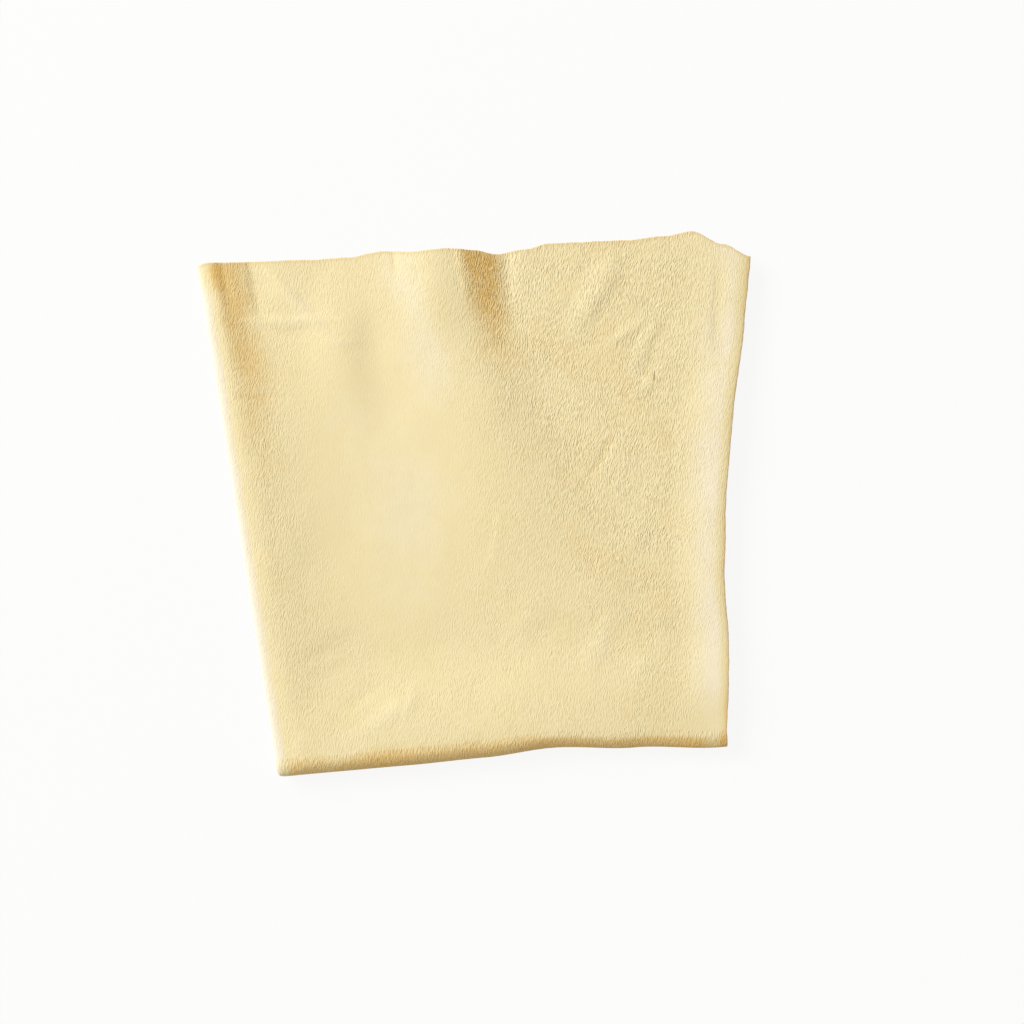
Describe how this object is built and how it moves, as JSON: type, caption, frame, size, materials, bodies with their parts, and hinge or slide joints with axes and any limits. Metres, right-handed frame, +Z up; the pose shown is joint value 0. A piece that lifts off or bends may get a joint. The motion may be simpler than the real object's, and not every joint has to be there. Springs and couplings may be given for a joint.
{
  "type": "chamois leather",
  "caption": "Natural-shape chamois leather skin folded flat for wiping and drying, with rolled folds that open the pile back out into one skin.",
  "frame": {"origin": "on the surface that the pile rests on, under the middle of the folded skin", "axes": "+X along the end fold away from the spine, +Y away from the end fold, +Z up"},
  "size_m": [0.315, 0.3008, 0.0157],
  "materials": {
    "chamois": "dry oil-tanned suede nap on both sides, pale cream yellow"
  },
  "bodies": {
    "base": {"base_quarter": "chamois", "lower_side_fold": "chamois", "lower_corner_fold": "chamois", "outer_end_fold_base": "chamois"},
    "second": {"second_quarter": "chamois", "inner_end_fold": "chamois"},
    "third": {"third_quarter": "chamois", "upper_side_fold": "chamois"},
    "top": {"top_quarter": "chamois", "outer_end_fold_top": "chamois", "upper_corner_fold": "chamois"}
  },
  "joints": [
    {"name": "spine_fold", "type": "hinge", "parent": "base", "child": "second", "pos_m": [-0.13698, -0.14559, 0.0029], "axis": [-0.0698, -0.9976, 0], "range_deg": [0, 180], "deforming": ["lower_side_fold", "lower_corner_fold"]},
    {"name": "end_fold", "type": "hinge", "parent": "second", "child": "third", "pos_m": [-0.13698, -0.14559, 0.0069], "axis": [1, 0, 0], "range_deg": [0, 180], "deforming": ["inner_end_fold", "outer_end_fold_base", "outer_end_fold_top"]},
    {"name": "upper_spine_fold", "type": "hinge", "parent": "third", "child": "top", "pos_m": [-0.13698, -0.14559, 0.0109], "axis": [0.0698, -0.9976, 0], "range_deg": [0, 180], "deforming": ["upper_side_fold", "upper_corner_fold"]}
  ],
  "couplings": [
    {"joint": "upper_spine_fold", "follows": "spine_fold", "ratio": 1}
  ]
}
